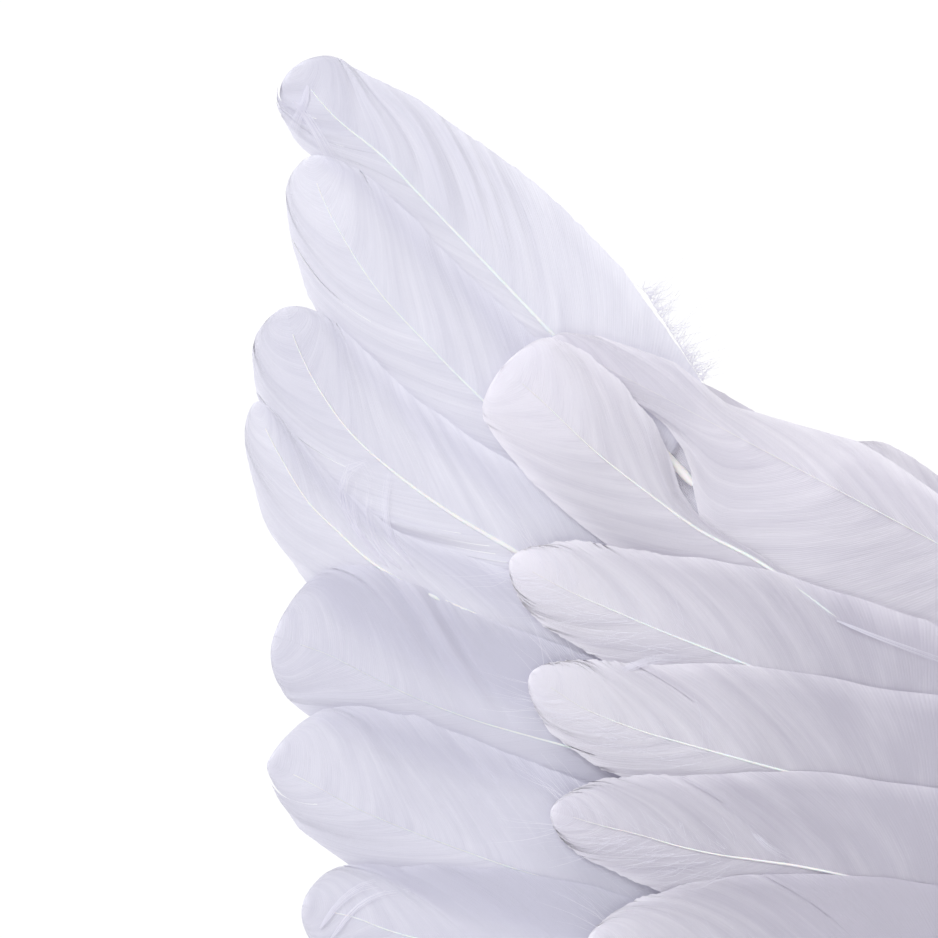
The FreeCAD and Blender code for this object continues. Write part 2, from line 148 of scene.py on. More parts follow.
FIRST_COVERTS = [
    dict(shaft=[(-56, 104), (-84, 124), (-112, 146), (-140, 166)],
         lead=(4, 7, 9, 9, 8, 6, 4, 2), trail=(24, 30, 32, 32, 28, 22, 15, 6), shaft_size=0.2,
         tip=0.05, sink=1.6, tone=(-0.3, -0.2), slits=[]),
    dict(shaft=[(-60, 110), (-94, 128), (-142, 153.7), (-190, 179.3), (-243, 207)], at=EDGE_STATIONS,
         lead=(12, 14, 18, 18.3, 12, 10.2, 9, 8.6, 9.7, 11.4, 12.8, 8.5, 3),
         trail=(34, 36, 40, 40, 36, 30, 23.8, 18.4, 12.9, 8.6, 6.8, 5, 3),
         shaft_size=0.2, tip=0.02, tone=(0.15, 0),
         folds=[(0.42, -1, 0.5, 0.07), (0.52, -1, -0.7, 0.04), (0.6, -1, 0.5, 0.03)], slits=[]),
    dict(shaft=[(-108, 95), (-128.5, 102.2), (-141.4, 108.5), (-155, 118.5), (-172, 130), (-191, 140),
                (-209, 153), (-228, 168), (-247, 186), (-260, 197)],
         at=(0.06, 0.3, 0.45, 0.53, 0.59, 0.65, 0.71, 0.81, 0.90, 1.0),
         lead=(2, 2, 2.5, 4, 7.7, 15.5, 21.2, 24.2, 23, 17), trail=(12, 17, 21, 22, 22.5, 23, 23, 23, 21, 17),
         tip=0.04, shaft_size=0.8, dive=1.6, tone=(-0.3, 0.5),
         folds=[(0.5, 1, 0.4, 0.05), (0.7, 1, -0.4, 0.06), (0.55, -1, 0.4, 0.06)], slits=[]),
    dict(shaft=[(-92, 59), (-131, 74.5), (-172, 92), (-191, 99.5), (-205, 105), (-219, 111),
                (-233, 117), (-245, 123), (-257, 130)],
         lead=(34, 39, 37, 34, 29, 22, 17, 10), trail=(18, 20, 22, 21, 19, 17, 14, 9), fuzz=105,
         shaft_size=0.7,
         folds=[(0.25, 1, -0.9, 0.1), (0.5, 1, 0.6, 0.06), (0.62, 1, -0.7, 0.06), (0.45, -1, 0.5, 0.07)],
         slits=[]),
    dict(shaft=[(-86, 31), (-118, 42), (-148, 52), (-175, 59.5), (-193, 64.5), (-212, 70),
                (-230, 77), (-240, 83), (-250, 90)],
         lead=(40, 42, 37, 34, 30, 22, 17, 10), trail=(16, 20, 22, 22, 19, 17, 13, 9), fuzz=118,
         shaft_size=0.7,
         folds=[(0.35, 1, -0.9, 0.07), (0.48, 1, 0.9, 0.03), (0.56, 1, -0.9, 0.03), (0.66, 1, 0.8, 0.02)],
         slits=[(0.55, 1, 0.5)]),
    dict(shaft=[(-80, 4), (-115, 13), (-150.5, 21.4), (-170, 24.5), (-184, 26.5), (-198, 29.5),
                (-212, 33.6), (-226, 37), (-243, 42)],
         lead=(37, 38, 35, 33, 29, 22, 17, 10), trail=(16, 19, 20, 19, 18, 16, 13, 9), fuzz=118,
         shaft_size=0.7, tone=(-0.5, 0.1),
         folds=[(0.30, 1, -0.7, 0.03), (0.38, 1, 1.0, 0.018), (0.44, 1, -0.8, 0.02), (0.50, 1, 1.0, 0.016),
                (0.57, 1, -0.8, 0.03), (0.65, 1, 0.7, 0.02)],
         slits=[(0.5, 1, 0.6)]),
    dict(shaft=[(-74, -22), (-115, -16), (-150, -10), (-185, -6), (-230, -3)],
         lead=(28, 33, 32, 30, 27, 21, 15, 7), trail=(14, 17, 19, 20, 18, 15, 11, 6), fuzz=77,
         shaft_size=0.7, tone=(-0.9, 0.3),
         folds=[(0.3, 1, 0.7, 0.04), (0.5, 1, -0.8, 0.05)], slits=[(0.36, 1, 0.5)]),
]

# Locks of barbs that have come loose from their vane: (places, width, how far they stand out).
LOCKS = [
    ([(-333, 290), (-330, 287), (-326, 281), (-321, 272), (-316, 262)], 4.4, 0.4),
    ([(-328, 296), (-329, 290), (-332, 283), (-334, 277)], 3.6, 0.5),
    ([(-303, 131), (-311, 140), (-316, 151), (-314, 161), (-309, 164), (-305, 158)], 3.0, 0.9),
    ([(-300, 127), (-308, 136), (-312, 147), (-311, 158)], 2.2, 1.1),
    ([(-295, 126), (-303, 134), (-307, 145), (-306, 156)], 2.0, 0.9),
    ([(-290, 126), (-298, 136), (-301, 148), (-299, 162)], 2.4, 0.8),
    ([(-323.7, 0.7), (-317, 9.5), (-309.4, 15), (-301.7, 16.8)], 3.0, 0.8),
    ([(-320, -3), (-312, 7), (-303, 12.5), (-292, 14)], 2.2, 0.8),
]
COVERT_LOCKS = [
    ([(-226, 86), (-214.9, 92), (-205.8, 95), (-190, 94)], 3.4, 0.6),
    ([(-228, 81), (-217, 88), (-205, 90)], 2.4, 0.5),
    ([(-174.7, 38), (-168, 30), (-158, 24)], 2.6, 0.9),
    ([(-180, 46), (-172, 35), (-162, 28)], 2.2, 0.8),
    ([(-186, 50), (-177, 40), (-166, 33)], 2.0, 0.7),
    ([(-143, 108.5), (-128.5, 102.6), (-107.8, 95), (-98, 91)], 2.2, 1.2),
]

# White down that shows past the leading edge, between two places.
DOWN_FROM, DOWN_TO = (-211, 225), (-190, 192)
DOWN_TOWARD = (0.75, 0.6)
DOWN_COUNT = 260

# The rest of the fans: (quill end, tip, bow towards the trailing side, lead width, trail width).
MORE_PRIMARIES = [
    ((-124, -62), (-320, -44), 4, 26, 18), ((-116, -76), (-304, -94), 3, 25, 18),
    ((-106, -88), (-281, -140), 2, 24, 18), ((-96, -98), (-252, -178), 1, 23, 17),
    ((-86, -106), (-215, -208), 0, 22, 17), ((-76, -112), (-176, -228), -1, 21, 16),
    ((-66, -112), (-136, -238), -2, 20, 16), ((-58, -106), (-100, -232), -3, 18, 15),
    ((-52, -96), (-68, -210), -4, 16, 12),
]
MORE_COVERTS = [
    ((-68, -40), (-212, -52), 1, 27, 19), ((-62, -58), (-184, -94), 0, 25, 18),
    ((-56, -70), (-152, -126), 0, 22, 17), ((-50, -78), (-118, -146), -1, 19, 16),
    ((-46, -84), (-86, -152), -2, 16, 14),
]
LESSER_COVERTS = [
    ((-44, 84), (-101, 119), 2, 19, 18), ((-44, 60), (-103, 84), 1, 19, 18),
    ((-44, 36), (-103, 49), 1, 19, 17), ((-44, 12), (-103, 16), 0, 19, 16),
    ((-44, -12), (-101, -17), 0, 18, 15), ((-44, -34), (-96, -52), 0, 16, 14),
    ((-43, -50), (-84, -82), -1, 14, 12), ((-41, -62), (-66, -104), -2, 12, 10),
]
MARGINALS = [
    ((-43, 76), (-82, 102), 1, 14, 13), ((-43, 56), (-84, 72), 1, 14, 13),
    ((-43, 34), (-84, 42), 1, 14, 13), ((-43, 12), (-83, 14), 0, 14, 12),
    ((-43, -10), (-80, -15), 0, 13, 12), ((-43, -30), (-74, -43), -1, 12, 11),
    ((-43, -46), (-64, -66), -1, 10, 9),
]
REAR_COVERTS = [
    ((-56, 104), (-140, 169), 2, 15, 20), ((-94, 128), (-238, 205), 4, 15, 26),
    ((-112, 96), (-265, 199), 5, 26, 22), ((-92, 62), (-258, 130), 1, 27, 20),
    ((-86, 30), (-251, 89), 1, 27, 20), ((-80, 4), (-243, 42), 1, 27, 20),
    ((-74, -20), (-232, -5), 1, 26, 20),
] + MORE_COVERTS
PLUME = [
    ((0, 20), (0, 96), 0, 12, 12), ((-6, 8), (-10, 66), 1, 9, 9), ((6, 8), (10, 66), -1, 9, 9),
    ((0, -20), (0, -96), 0, 12, 12), ((-6, -8), (-10, -66), -1, 9, 9), ((6, -8), (10, -66), 1, 9, 9),
]

# Painted light (above 0) and painted shade (below 0) in a row's feather colour, at their base and at their
# tip.
ROW_PAINTED_SHADING = {"primaries": (-0.65, -0.15), "coverts": (-0.45, 0.55), "rear_coverts": (-0.3, 0.3)}
PLAIN_PAINTED_SHADING = (0, 0.2)


def in_scene(name, data):
    """A new object of the data, in the scene."""
    obj = bpy.data.objects.new(name, data)
    bpy.context.scene.collection.objects.link(obj)
    return obj


# ---------------- materials

# A vane's texture runs in centimetres along its shaft and across it. Frequencies are per centimetre.
BARB_PITCH = 0.085
BARB_LIGHT, BARB_RELIEF = 0.05, 0.045
STREAKS_ALONG, STREAKS_ACROSS, STREAK_RELIEF = 9.0, 0.7, 0.6
PATCHES_ALONG, PATCHES_ACROSS = 1.4, 0.35
STREAK_SHARE, PATCH_SHARE = 0.36, 0.64
TONE_CONTRAST, TONE_START = 1.4, -0.2
# A painted highlight: from this share of its width out to its edge and round its tip, a vane's colour is
# painted lighter by up to this much.
RIM_STARTS, RIM_PAINTED_HIGHLIGHT = 0.80, 0.35
VANE_LETS_THROUGH, BARB_LETS_THROUGH = 0.32, 0.5
FLEECE_SCALE = 900.0


class Nodes:
    """A short way to write the node tree of a material or of the world."""

    def __init__(self, owner, output="OutputMaterial"):
        self.owner = owner
        owner.use_nodes = True
        self.tree = owner.node_tree
        self.tree.nodes.clear()
        self.out = self.add(output)

    def add(self, kind, inputs=(), **settings):
        """A new shader node, its inputs linked or set by their name or number."""
        node = self.tree.nodes.new("ShaderNode" + kind)
        for key, value in settings.items():
            setattr(node, key, value)
        for key, value in dict(inputs).items():
            if hasattr(value, "is_linked"):
                self.tree.links.new(value, node.inputs[key])
            else:
                node.inputs[key].default_value = value
        return node

    def math(self, operation, a, b=0.0, c=0.0):
        return self.add("Math", {0: a, 1: b, 2: c}, operation=operation).outputs[0]

    def mix(self, factor, a, b):
        return self.add("Mix", {"Factor": factor, 6: a, 7: b}, data_type="RGBA").outputs[2]

    def finish(self, shader):
        self.tree.links.new(shader, self.out.inputs[0])
        return self.owner


def rgb(r, g, b):
    return (r, g, b, 1.0)


def vane_material(name, shade, light):
    """A goose vane: fine barbs, softer streaks along them, a painted highlight along its edge and round its
    tip, painted shade and light from its base to its tip, and light passing through.
    """
    n = Nodes(bpy.data.materials.new(name))
    uv = n.add("UVMap", uv_map="barbs").outputs[0]
    split = n.add("SeparateXYZ", {0: uv})
    along, across = split.outputs[0], split.outputs[1]
    barb_line = n.math("SINE", n.math("MULTIPLY", along, 2 * math.pi / BARB_PITCH))

    def noise(turns_along, turns_across, detail, roughness):
        at = n.add("CombineXYZ", {0: n.math("MULTIPLY", along, turns_along),
                                  1: n.math("MULTIPLY", across, turns_across)})
        return n.add("TexNoise", {"Vector": at.outputs[0], "Scale": 1.0, "Detail": detail,
                                  "Roughness": roughness}).outputs[0]

    streaks = noise(STREAKS_ALONG, STREAKS_ACROSS, 4.0, 0.62)
    patches = noise(PATCHES_ALONG, PATCHES_ACROSS, 2.0, 0.5)
    tone = n.math("ADD", n.math("MULTIPLY", streaks, STREAK_SHARE),
                  n.math("MULTIPLY", patches, PATCH_SHARE))
    tone = n.math("MULTIPLY_ADD", tone, TONE_CONTRAST, TONE_START)
    # A painted highlight along the edge and round the tip, and the feather's painted shade and light from its
    # tone, both read from the rim map.
    edge = n.add("SeparateXYZ", {0: n.add("UVMap", uv_map="rim").outputs[0]})
    rim = n.add("MapRange", {0: edge.outputs[0], 1: RIM_STARTS, 2: 1.0, 3: 0.0, 4: RIM_PAINTED_HIGHLIGHT})
    tone = n.math("ADD", n.math("ADD", tone, rim.outputs[0]), edge.outputs[1])
    tone = n.math("ADD", tone, n.math("MULTIPLY", barb_line, BARB_LIGHT))
    colour = n.mix(tone, shade, light)
    height = n.math("ADD", n.math("MULTIPLY", barb_line, BARB_RELIEF),
                    n.math("MULTIPLY", streaks, STREAK_RELIEF))
    bump = n.add("Bump", {"Height": height, "Strength": 0.6, "Distance": 0.0005})
    face = n.add("BsdfPrincipled", {"Base Color": colour, "Roughness": 0.62, "Normal": bump.outputs[0],
                                    "Specular IOR Level": 0.25, "Sheen Weight": 0.15, "Sheen Roughness": 0.4})
    through = n.add("BsdfTranslucent", {"Color": colour, "Normal": bump.outputs[0]})
    both = n.add("MixShader", {0: VANE_LETS_THROUGH, 1: face.outputs[0], 2: through.outputs[0]})
    return n.finish(both.outputs[0])


def shaft_material():
    """Horny white shaft, creamy and glossier than the vanes."""
    n = Nodes(bpy.data.materials.new("feather_shaft"))
    uv = n.add("UVMap", uv_map="barbs").outputs[0]
    grain = n.add("TexNoise", {"Vector": uv, "Scale": 2.0, "Detail": 3.0})
    colour = n.mix(grain.outputs[0], rgb(0.92, 0.89, 0.87), rgb(0.98, 0.95, 0.93))
    bump = n.add("Bump", {"Height": grain.outputs[0], "Strength": 0.2, "Distance": 0.0002})
    shader = n.add("BsdfPrincipled", {"Base Color": colour, "Roughness": 0.33, "Normal": bump.outputs[0],
                                      "Subsurface Weight": 0.25, "Subsurface Scale": 0.001})
    return n.finish(shader.outputs[0])


def woven_material(name, dark, light, pitch, rib=1.0, roughness=0.85):
    """Cloth or webbing: two crossed waves of threads, pitch millimetres apart, and a fleecy variation."""
    n = Nodes(bpy.data.materials.new(name))
    position = n.add("NewGeometry").outputs["Position"]
    split = n.add("SeparateXYZ", {0: position})
    turn = 2 * math.pi / (pitch * MM)
    warp = n.math("SINE", n.math("MULTIPLY", n.math("ADD", split.outputs[0], split.outputs[1]), turn))
    weft = n.math("SINE", n.math("MULTIPLY", split.outputs[2], turn * rib))
    weave = n.math("MULTIPLY", warp, weft)
    fleece = n.add("TexNoise", {"Vector": position, "Scale": FLEECE_SCALE, "Detail": 5.0, "Roughness": 0.7})
    tone = n.math("ADD", n.math("MULTIPLY", weave, 0.25), fleece.outputs[0])
    colour = n.mix(tone, dark, light)
    height = n.math("ADD", n.math("MULTIPLY", weave, 0.5), fleece.outputs[0])
    bump = n.add("Bump", {"Height": height, "Strength": 0.5, "Distance": 0.0004})
    shader = n.add("BsdfPrincipled", {"Base Color": colour, "Roughness": roughness, "Normal": bump.outputs[0],
                                      "Sheen Weight": 0.3})
    return n.finish(shader.outputs[0])


def moulded_material(name, dark, light, roughness, metallic=0.0, scale=400.0):
    """Moulded plastic or drawn metal with handling marks and a slight texture."""
    n = Nodes(bpy.data.materials.new(name))
    position = n.add("NewGeometry").outputs["Position"]
    marks = n.add("TexNoise", {"Vector": position, "Scale": scale, "Detail": 6.0, "Roughness": 0.6})
    colour = n.mix(marks.outputs[0], dark, light)
    rough = n.math("MULTIPLY_ADD", marks.outputs[0], 0.2, roughness - 0.1)
    bump = n.add("Bump", {"Height": marks.outputs[0], "Strength": 0.15, "Distance": 0.0002})
    shader = n.add("BsdfPrincipled", {"Base Color": colour, "Roughness": rough, "Normal": bump.outputs[0],
                                      "Metallic": metallic})
    return n.finish(shader.outputs[0])


def barb_material():
    """Loose barbs and down: soft, pale and half see-through."""
    n = Nodes(bpy.data.materials.new("feather_down"))
    uv = n.add("UVMap", uv_map="barbs").outputs[0]
    tone = n.add("TexNoise", {"Vector": uv, "Scale": 3.0, "Detail": 2.0})
    colour = n.mix(tone.outputs[0], rgb(0.86, 0.85, 0.92), rgb(0.98, 0.97, 1.0))
    face = n.add("BsdfPrincipled", {"Base Color": colour, "Roughness": 0.7, "Specular IOR Level": 0.2})
    through = n.add("BsdfTranslucent", {"Color": colour})
    both = n.add("MixShader", {0: BARB_LETS_THROUGH, 1: face.outputs[0], 2: through.outputs[0]})
    return n.finish(both.outputs[0])


OUTER_VANE = vane_material("outer_vane", rgb(0.71, 0.70, 0.79), rgb(0.93, 0.92, 0.985))
INNER_VANE = vane_material("inner_vane", rgb(0.70, 0.672, 0.75), rgb(0.98, 0.955, 1.0))
SHAFT = shaft_material()
BARB = barb_material()
FELT = woven_material("felt", rgb(0.75, 0.735, 0.81), rgb(0.92, 0.905, 0.96), 0.9)
KNIT = woven_material("knit", rgb(0.74, 0.725, 0.79), rgb(0.91, 0.895, 0.94), 1.3, 0.6)
TAPE = woven_material("tape", rgb(0.76, 0.75, 0.79), rgb(0.92, 0.91, 0.94), 0.7)
ELASTIC = woven_material("elastic", rgb(0.76, 0.75, 0.81), rgb(0.94, 0.94, 0.96), 1.0, 0.55, 0.6)
THREAD = woven_material("thread", rgb(0.82, 0.82, 0.85), rgb(0.95, 0.95, 0.96), 0.4)
BOARD = moulded_material("board", rgb(0.66, 0.63, 0.58), rgb(0.80, 0.78, 0.74), 0.8, scale=700.0)
WHITE_PLASTIC = moulded_material("white_plastic", rgb(0.80, 0.80, 0.83), rgb(0.90, 0.90, 0.92), 0.42)
NICKEL = moulded_material("nickel", rgb(0.62, 0.62, 0.64), rgb(0.80, 0.80, 0.82), 0.3, 1.0)
WIRE = moulded_material("wire", rgb(0.55, 0.55, 0.58), rgb(0.72, 0.72, 0.75), 0.42, 1.0, 1200.0)


# ---------------- feather meshes

# Places along a feather are shares of its shaft, s where a barb leaves it and t where the barb's
# point lies; v is the share of the vane's width. lie holds a feather's own random phases.
SHAFT_SAMPLES, LINE_STEPS = 200, 24
VANE_MARK, SHAFT_MARK, BARB_MARK = 0, 1, 2
FINE_GRID, PLAIN_GRID = (130, 18), (60, 9)
FEATHERS_IN_VIEW = 7
CM, UV_SHIFT = 10, 9

# Where a vane starts, over how much it opens, and how much of it a plain tip rounds off.
VANE_START, VANE_OPENS, BLUNT_TIP = 0.06, 0.05, 0.10
# How far forward barbs sweep, over how much that fades, its limit at the tip, over how much it grows.
SWEEP, SWEEP_ENDS, TIP_SWEEP, SWEEP_GROWS = 0.27, 0.33, 0.96, 0.3
# Waves of a vane's edge (size, turns, phase), and how unevenly its barbs end.
EDGE_WAVES = ((0.010, 23, 3), (0.006, 61, 0))
TATTERED, EVEN = 0.03, 0.004
# A split: half its opening, how far along it shows, how far its sides part and how high they lap.
SPLIT_HALF, SPLIT_SPREAD, SPLIT_SHIFT, SPLIT_STEP = 0.0012, 0.03, 0.003, 0.28
# Heights of a vane's bends, its ripples (height, turns along, turns across, phase) and its tucked base.
CUP, ROLL, ROLL_WIDTH, FOLD_HEIGHT, UNEVEN = 0.6, 0.4, 30, 1.3, 0.02
RIPPLES = ((0.22, 17, 2.2, 1), (0.08, 47, 3.1, 2))
BASE_DIVE, DIVE_ENDS = 0.5, 0.35
# The painted highlight along a vane's edge and round its tip, and where the painted shade and light of its
# tone run from the base value to the tip value.
RIM_ROUNDS, PAINTED_SHADING_SPAN = 0.1, (0.2, 0.9)

# A shaft: its end, its grid, its radii, how it lies in the vane and how its quill dips.
SHAFT_END, SHAFT_STEPS, SHAFT_SIDES = 0.95, 46, 8
SHAFT_TIP_R, SHAFT_BASE_R, FULL_LENGTH = 0.16, 1.25, 190
SHAFT_LIFT, SHAFT_SINK, SHAFT_FLAT, QUILL_NECK = 0.35, 0.72, 0.8, 0.6
QUILL_DIP, DIP_ENDS = 1.8, 0.38

# Loose barbs, locks of them, and the tufts that leave a covert between two of its shaft's samples.
STRAND_STEPS, STRAND_TWIST = 8, 0.2
LOCK_STEPS, LOCK_GAP, LOCK_STRAND, LOCK_CLEAR = 9, 0.28, 0.13, 0.12
CURL_STEPS = (0, 0.35, 0.7, 1.0)
TUFT_SAMPLES, TUFT_FROM, TUFT_TO = 60, 36, 59


def run_along(line):
    """How far each place of a line is from its start."""
    return np.concatenate([[0], np.cumsum(np.linalg.norm(np.diff(line, axis=0), axis=1))])


def along_line(t, run, values):
    """Places or directions at t, from those of a line at its run."""
    return np.stack([np.interp(t, run, column) for column in values.T], axis=-1)


def line_sides(line):
    """The direction to the left of a flat line, at each of its places."""
    ahead = np.gradient(line, axis=0)
    ahead /= np.linalg.norm(ahead, axis=1)[:, None]
    return np.stack([-ahead[:, 1], ahead[:, 0]], axis=1)


def smooth_line(points, count):
    """Evenly spaced places on a smooth line through the points, and its length."""
    p = np.array(points, float)
    p = np.vstack([2 * p[0] - p[1], p, 2 * p[-1] - p[-2]])
    fine = []
    t = np.linspace(0, 1, LINE_STEPS, endpoint=False)[:, None]
    for a, b, c, d in zip(p, p[1:], p[2:], p[3:]):
        fine.append(0.5 * (2 * b + (c - a) * t + (2 * a - 5 * b + 4 * c - d) * t ** 2
                           + (3 * b - a - 3 * c + d) * t ** 3))
    fine.append(p[-2][None])
    fine = np.vstack(fine)
    run = run_along(fine)
    return along_line(np.linspace(0, run[-1], count), run, fine), run[-1]


def from_fan(entry):
    """A feather description from the short form used for the rest of the fans."""
    base, tip, bow, lead, trail = entry
    base, tip = np.array(base, float), np.array(tip, float)
    along = (tip - base) / np.linalg.norm(tip - base)
    side = np.array([-along[1], along[0]])
    shaft = [tuple(base + (tip - base) * s + side * 4 * bow * s * (1 - s)) for s in (0, 0.25, 0.5, 0.75, 1)]
    return dict(shaft=shaft, lead=[lead * f for f in FULLNESS], trail=[trail * f for f in FULLNESS])


def swell(x, z):
    """The whole wing's gentle waves, so that neighbouring feathers lie together."""
    return (0.9 * np.sin(x / 43 + 0.7) * np.sin(z / 37 + 1.9) + 0.5 * np.sin(x / 21 - z / 27 + 0.4)
            + 0.25 * np.sin(x / 11 + z / 14))


def vane_sweep(s):
    """How far forward of s a barb ends: the sweep grows from the quill and fades at the tip."""
    sweep = np.minimum(SWEEP * np.clip((1 - s) / SWEEP_ENDS, 0, 1) ** 0.9, TIP_SWEEP * (1 - s))
    return sweep * np.clip((s - VANE_START) / SWEEP_GROWS, 0, 1) ** 0.7


def vane_fullness(tip, t):
    """The share of its width that a vane has at t: it opens at its base and rounds off at its tip."""
    rounded = np.sqrt(np.clip(1 - np.clip((t - 1 + tip) / tip, 0, 1) ** 2, 0, 1))
    return rounded * np.clip((t - VANE_START) / VANE_OPENS, 0, 1) ** 0.5


def vane_rise(spec, sign, s, v, width, lie):
    """How a vane bends off the plane of its shaft: cupped, folded, rippled and tucked in at its base."""
    rise = -CUP * v ** 2 + ROLL * np.sin(v * 3.0 + lie[0]) * (width / ROLL_WIDTH)
    for centre, where, height, spread in spec.get("folds", ()):
        if where == -sign:
            crest = np.exp(-((s + 0.02 * v - centre) / spread) ** 2)
            rise += FOLD_HEIGHT * height * crest * np.clip(v * 1.6, 0, 1) * (1 - 0.4 * v)
    rise -= spec.get("dive", BASE_DIVE) * np.clip(1 - s / DIVE_ENDS, 0, 1)
    for height, along, across, phase in RIPPLES:
        rise += height * np.sin(s * along + v * across + lie[phase]) * v
    return rise


class Builder:
    """Collects feathers into one mesh. Its materials are the vanes', the shafts' and the loose barbs'."""

    def __init__(self, seed, tone=(0, 0)):
        self.rng = np.random.default_rng(seed)
        # tone: the painted light and shade at base and tip for feathers that give none of their own.
        self.tone = tone
        self.points, self.faces, self.uvs, self.marks, self.painted_light_uvs = [], [], [], [], []
        self.count = 0

    def collect(self, points, uvs, painted_light_uvs, faces, mark):
        """Takes in points with their texture places, and faces that count from the first of them."""
        self.points.append(points.reshape(-1, 3))
        self.uvs.append(uvs.reshape(-1, 2))
        self.painted_light_uvs.append(painted_light_uvs.reshape(-1, 2))
        self.faces.append(faces + self.count)
        self.marks.append(np.full(len(faces), mark))
        self.count += len(self.points[-1])

    def grid(self, points, uvs, mark, keep=None, closed=False, rim=None):
        """Adds a rows by columns grid of points. keep tells which cells have a face."""
        rows, cols = points.shape[:2]
        index = np.arange(rows * cols).reshape(rows, cols)
        right = np.roll(index, -1, axis=1) if closed else index[:, 1:]
        left = index if closed else index[:, :-1]
        quads = np.stack([left[:-1], right[:-1], right[1:], left[1:]], axis=-1).reshape(-1, 4)
        if keep is not None:
            quads = quads[keep.reshape(-1)]
        self.collect(points, uvs, np.zeros((rows, cols, 2)) if rim is None else rim, quads, mark)

    def feather(self, spec, depth, facing, grid):
        """One feather. depth is how far its shaft stands off the wing plane, facing -1 or 1."""
        line, length = smooth_line(spec["shaft"], SHAFT_SAMPLES)
        axis = (np.linspace(0, 1, SHAFT_SAMPLES), line, line_sides(line), length)
        lie = self.rng.uniform(0, 6, 4)
        for sign in (1, -1):
            self.vane(spec, axis, sign, lie, depth, facing, grid)
        self.shaft(spec, axis, depth, facing)

    def vane(self, spec, axis, sign, lie, depth, facing, grid):
        """The trailing vane for sign 1, the leading one for -1: each row of its grid is a barb."""
        share, line, side, length = axis
        splits = [(s, inner) for s, where, inner in spec.get("slits", ()) if where == -sign]
        if "slits" not in spec:
            splits.append((self.rng.uniform(0.3, 0.85), self.rng.uniform(0.5, 0.8)))
        stations = list(np.linspace(VANE_START, 1, grid[0]))
        for centre, _ in splits:
            stations += [centre - SPLIT_HALF, centre + SPLIT_HALF]
        stations = np.array(sorted(stations))
        s, v = np.meshgrid(stations, np.linspace(0, 1, grid[1]) ** 0.9, indexing="ij")
        t = np.clip(s + vane_sweep(s) * v ** 1.25, 0, 1)
        width = np.interp(t, spec.get("at", STATIONS), spec["trail" if sign > 0 else "lead"])
        edge = 1
        for size, turns, phase in EDGE_WAVES:
            edge = edge + size * np.sin(s * turns + lie[phase])
        tatter = TATTERED * np.clip((s - 0.4) / 0.4, 0, 1) if "fuzz" in spec else EVEN
        edge = edge + tatter * self.rng.standard_normal((len(stations), 1)) * v ** 4
        offset = v * width * vane_fullness(spec.get("tip", BLUNT_TIP), t) * edge
        keep = np.ones((grid[0] - 1 + 2 * len(splits), grid[1] - 1), bool)
        parting = np.zeros_like(s)
        for centre, inner in splits:
            row = int(np.argmin(np.abs(stations - (centre - SPLIT_HALF))))
            keep[row, v[0, :-1] >= inner] = False
            near = np.clip((v - inner) / (1 - inner), 0, 1) * np.exp(-((s - centre) / SPLIT_SPREAD) ** 2)
            parting += np.where(s < centre, 1, -1) * near
        t = np.clip(t + SPLIT_SHIFT * parting, 0, 1)
        flat = along_line(t, share, line) + along_line(t, share, side) * (sign * offset)[..., None]
        rise = vane_rise(spec, sign, s, v, width, lie) - sign * SHINGLE * offset + SPLIT_STEP * parting
        rise += UNEVEN * self.rng.standard_normal((len(stations), 1)) * v
        y = depth + rise + swell(flat[..., 0], flat[..., 1])
        points = np.stack([flat[..., 0], facing * y, flat[..., 1]], axis=-1)
        uvs = np.stack([s * length / CM + lie[1] * UV_SHIFT, offset / CM + lie[2] * UV_SHIFT], axis=-1)
        # The rim map: a mask for the painted highlight along the edge and round the tip, and the painted
        # shade and light of the feather's tone along its shaft.
        rim = np.stack([np.maximum(v, np.clip((t - 1 + RIM_ROUNDS) / RIM_ROUNDS, 0, 1)),
                        np.interp(s, PAINTED_SHADING_SPAN, spec.get("tone", self.tone))], axis=-1)
        if (sign > 0) == (facing > 0):
            points, uvs, keep, rim = points[:, ::-1], uvs[:, ::-1], keep[:, ::-1], rim[:, ::-1]
        self.grid(points, uvs, VANE_MARK, keep, rim=rim)

    def shaft(self, spec, axis, depth, facing):
        """The shaft: a tapering closed rod along the line, its quill end dipped under the next feather."""
        share, line, side, length = axis
        t = np.concatenate([np.linspace(0, SHAFT_END, SHAFT_STEPS), [SHAFT_END + 0.002]])
        taper = (1 - t / SHAFT_END * 0.999).clip(0) ** 1.15
        radius = spec.get("shaft_size", 1.0) * (SHAFT_TIP_R + SHAFT_BASE_R * taper)
        radius *= min(1.0, length / FULL_LENGTH)
        radius[-1] = 0.01
        radius[0] *= QUILL_NECK
        spots = along_line(t, share, line)
        across = along_line(t, share, side)
        dip = spec.get("dip", QUILL_DIP) * np.clip(1 - t / DIP_ENDS, 0, 1)
        lift = depth + SHAFT_LIFT - SHAFT_SINK * radius - dip + swell(spots[:, 0], spots[:, 1])
        angle = np.linspace(0, 2 * math.pi, SHAFT_SIDES, endpoint=False)
        ring = radius[:, None] * np.cos(angle)
        height = radius[:, None] * np.sin(angle) * SHAFT_FLAT
        x = spots[:, 0, None] + across[:, 0, None] * ring
        z = spots[:, 1, None] + across[:, 1, None] * ring
        y = facing * (lift[:, None] + height)
        points = np.stack([x, y, z], axis=-1)
        if facing < 0:
            points = points[:, ::-1]
        uvs = np.stack(np.meshgrid(t * length / CM, angle / CM, indexing="ij"), axis=-1)
        self.grid(points, uvs, SHAFT_MARK, closed=True)
        self.cap(points[0])

    def cap(self, ring):
        """Closes the quill end of a shaft."""
        blank = np.zeros((SHAFT_SIDES, 2))
        quads = np.array([(3, 2, 1, 0), (7, 4, 3, 0), (7, 6, 5, 4)])
        self.collect(ring, blank, blank, quads, SHAFT_MARK)

